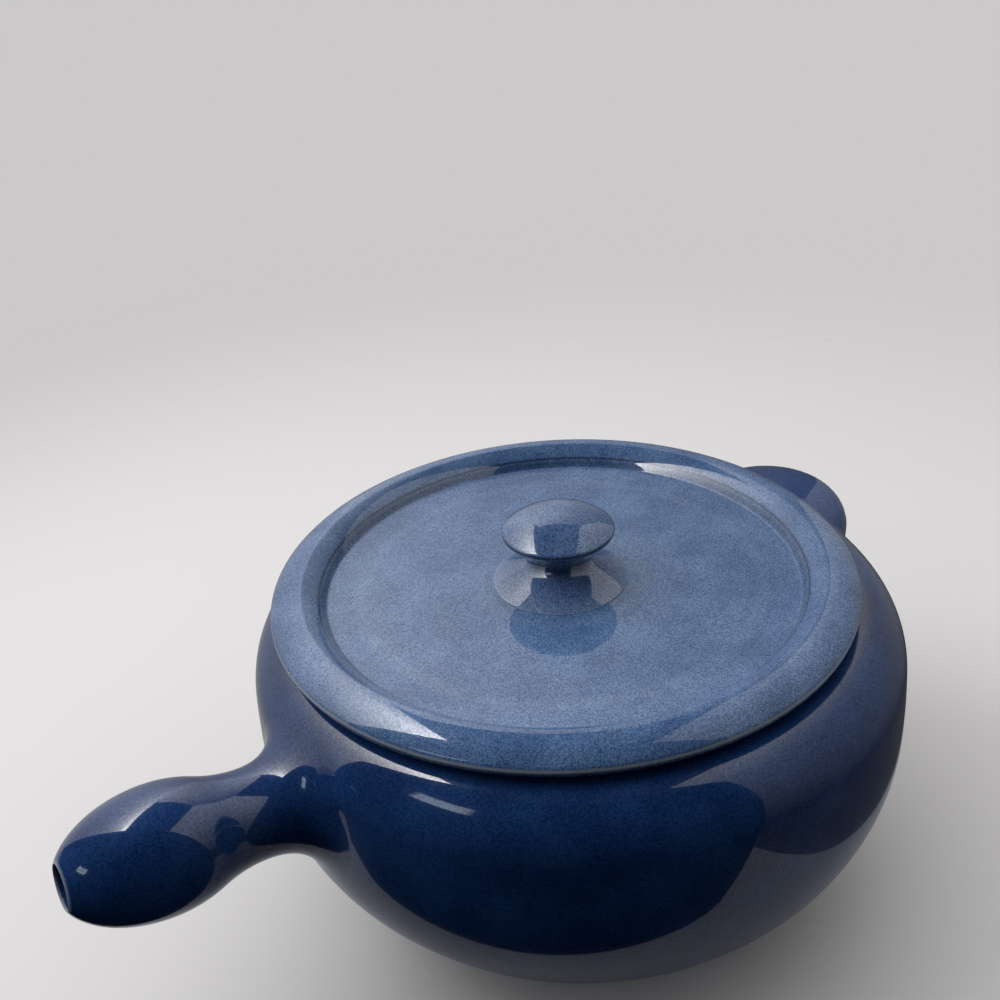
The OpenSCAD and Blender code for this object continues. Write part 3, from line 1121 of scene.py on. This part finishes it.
def noise(scale, detail=2.0, roughness=0.5):
    """Noise in the object's own coordinates."""
    node = add(tree, "ShaderNodeTexNoise", Scale=scale, Detail=detail, Roughness=roughness)
    join(tree, place, node.inputs["Vector"])
    return node.outputs["Fac"]


mottle = remap(tree, noise(MOTTLE_SCALE, 3.0, 0.55), *MOTTLE_SPAN, smooth=True)
grain = noise(GRAIN_SCALE, 2.0, 0.7)
sand = add(tree, "ShaderNodeTexVoronoi", Scale=SAND_SCALE)
join(tree, place, sand.inputs["Vector"])
sand = maths(tree, "MULTIPLY", dot(tree, sand.outputs["Color"], (1, 0, 0)), SAND_SHARE)
sandy = remap(tree, maths(tree, "ADD", grain, sand), *SANDY_SPAN)
grains = maths(tree, "MULTIPLY", sandy, given["Amount"])
grains = maths(tree, "MULTIPLY", grains, remap(tree, mottle, 0, 1, *MOTTLE_GRAIN))
thin_or_shade = add(tree, "ShaderNodeAttribute", attribute_name=THIN_OR_SHADE).outputs["Fac"]
ragged = maths(tree, "MULTIPLY", maths(tree, "SUBTRACT", grain, 0.5), RAGGED_EDGE)
ragged = maths(tree, "MULTIPLY", ragged, maths(tree, "ABSOLUTE", thin_or_shade))
ragged = maths(tree, "ADD", ragged, thin_or_shade)
thin = remap(tree, ragged, *THIN_SPAN)
# painted shade: below 0 the attribute darkens the glaze to stand in for shade
painted_shade = remap(tree, ragged, *PAINTED_SHADE_SPAN)
colour = mixed(tree, mottle, given["Deep"], given["Body"])
colour = mixed(tree, grains, colour, given["Grain"])
colour = mixed(tree, thin, colour, given["Edge"])
colour = mixed(tree, painted_shade, colour, PAINTED_SHADE_COLOUR)
waves = noise(WAVE_SCALE, 1.0)
height = maths(tree, "ADD", maths(tree, "MULTIPLY", grain, GRAIN_HEIGHT), waves)
result = add(tree, "NodeGroupOutput").inputs
join(tree, colour, result["Colour"])
join(tree, thin, result["Thin"])
join(tree, grains, result["Grains"])
join(tree, height, result["Height"])
join(tree, remap(tree, sandy, 0, 1, *GLOSS), result["Gloss"])
print("glaze pattern:", len(tree.nodes), "nodes")

# %% [markdown]
# ## Materials
# A glaze is clear glass over a coloured layer. One layer of strong gloss could stand for both, but a
# thin mirror coat over a dull body gives sharp reflections without washing out the blue.

# %% Glaze material
EDGE_COLOUR = (0.36, 0.40, 0.42, 1)
COAT_ROUGHNESS = 0.02
BODY_SHINE = 0.06
ROUGHER = 0.1


def glaze(name, deep, body, grain_colour, amount, roughness):
    """A glossy glaze over the shared grain."""
    material = bpy.data.materials.new(name)
    material.use_nodes = True
    tree = material.node_tree
    shader = tree.nodes["Principled BSDF"]
    shader.inputs["Coat Roughness"].default_value = COAT_ROUGHNESS
    shader.inputs["Specular IOR Level"].default_value = BODY_SHINE
    pattern = add(
        tree, "ShaderNodeGroup", node_tree=glaze_group,
        Deep=deep, Body=body, Grain=grain_colour, Edge=EDGE_COLOUR, Amount=amount,
    )
    join(tree, pattern.outputs["Colour"], shader.inputs["Base Color"])
    dry = maths(tree, "ADD", pattern.outputs["Grains"], pattern.outputs["Thin"])
    rough = remap(tree, dry, 0, 1.2, roughness, roughness + ROUGHER)
    join(tree, rough, shader.inputs["Roughness"])
    join(tree, pattern.outputs["Gloss"], shader.inputs["Coat Weight"])
    bump = add(tree, "ShaderNodeBump", Strength=0.25, Distance=0.0006)
    join(tree, pattern.outputs["Height"], bump.inputs["Height"])
    join(tree, bump.outputs["Normal"], shader.inputs["Normal"])
    return material


# %% [markdown]
# The foot ring and the lid's seat are wiped clean before the firing, so the bare clay shows there: a
# buff stoneware with small dark iron spots. A plain colour would do at this size, but the spots tell
# it from plaster.

# %% Bare clay
CLAY_DARK = (0.34, 0.26, 0.19, 1)
CLAY_PALE = (0.52, 0.43, 0.33, 1)
CLAY_SPOT = (0.10, 0.07, 0.05, 1)
SPOT_SPAN = (0.16, 0.06)


def bare_clay():
    """Buff stoneware without glaze."""
    material = bpy.data.materials.new("bare_clay")
    material.use_nodes = True
    tree = material.node_tree
    shader = tree.nodes["Principled BSDF"]
    place = add(tree, "ShaderNodeTexCoord").outputs["Object"]
    body = add(tree, "ShaderNodeTexNoise", Scale=500, Detail=4.0)
    spots = add(tree, "ShaderNodeTexVoronoi", Scale=600)
    join(tree, place, body.inputs["Vector"])
    join(tree, place, spots.inputs["Vector"])
    colour = mixed(tree, body.outputs["Fac"], CLAY_DARK, CLAY_PALE)
    colour = mixed(tree, remap(tree, spots.outputs["Distance"], *SPOT_SPAN), colour, CLAY_SPOT)
    join(tree, colour, shader.inputs["Base Color"])
    join(tree, remap(tree, body.outputs["Fac"], 0.3, 0.7, 0.75, 0.9), shader.inputs["Roughness"])
    bump = add(tree, "ShaderNodeBump", Strength=0.4, Distance=0.0002)
    join(tree, body.outputs["Fac"], bump.inputs["Height"])
    join(tree, bump.outputs["Normal"], shader.inputs["Normal"])
    return material


# %% [markdown]
# Each piece has its own colours and its own amount of grain: the lid lay flat in the kiln and is the
# palest, and the wall is deeper. One material with masks would do too, but three are easier to tune.

# %% Materials
pot_glaze = glaze(
    "pot_blue",
    deep=(0.0012, 0.0125, 0.062, 1),
    body=(0.0025, 0.020, 0.088, 1),
    grain_colour=(0.035, 0.080, 0.19, 1),
    amount=0.32,
    roughness=0.2,
)
lid_glaze = glaze(
    "lid_blue",
    deep=(0.012, 0.044, 0.125, 1),
    body=(0.022, 0.062, 0.152, 1),
    grain_colour=(0.14, 0.21, 0.35, 1),
    amount=0.55,
    roughness=0.25,
)
knob_glaze = glaze(
    "knob_blue",
    deep=(0.008, 0.034, 0.105, 1),
    body=(0.016, 0.048, 0.132, 1),
    grain_colour=(0.14, 0.20, 0.33, 1),
    amount=0.55,
    roughness=0.2,
)
clay = bare_clay()
print("materials:", ", ".join(m.name for m in (pot_glaze, lid_glaze, knob_glaze, clay)))

# %% [markdown]
# ## Dress the frame
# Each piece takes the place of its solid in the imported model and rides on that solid's body, so
# that the lid and its knob lift together. The solids could carry the glaze themselves, but their
# flares end at the wall, so these smoother pieces stand for them.

# %% Dress the frame
DRESSED = (
    (pot, "pot", "pot", "pot_glaze", pot_glaze),
    (handle, "side_handle", "pot", "handle_glaze", pot_glaze),
    (lug, "lug_handle", "pot", "handle_glaze", pot_glaze),
    (lid, "lid", "lid", "lid_glaze", lid_glaze),
    (knob, "lid_knob", "lid", "knob_glaze", knob_glaze),
)
for piece, node, body, slot, material in DRESSED:
    piece.data.materials.append(material)
    piece.data.materials.append(clay)
    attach(piece, body)
    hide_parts(node)
    print(piece.name, "stands for", node)

# %% [markdown]
# ## Size and finish
# The looks must not change the part's size. It could be judged by eye, but numbers can be checked,
# so both boxes are written down side by side.

# %% Size and finish
visual_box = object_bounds()
for name, (low, high) in (("cad", cad_box), ("visual", visual_box)):
    print(name, [round((b - a) * METRE, 1) for a, b in zip(low, high)])
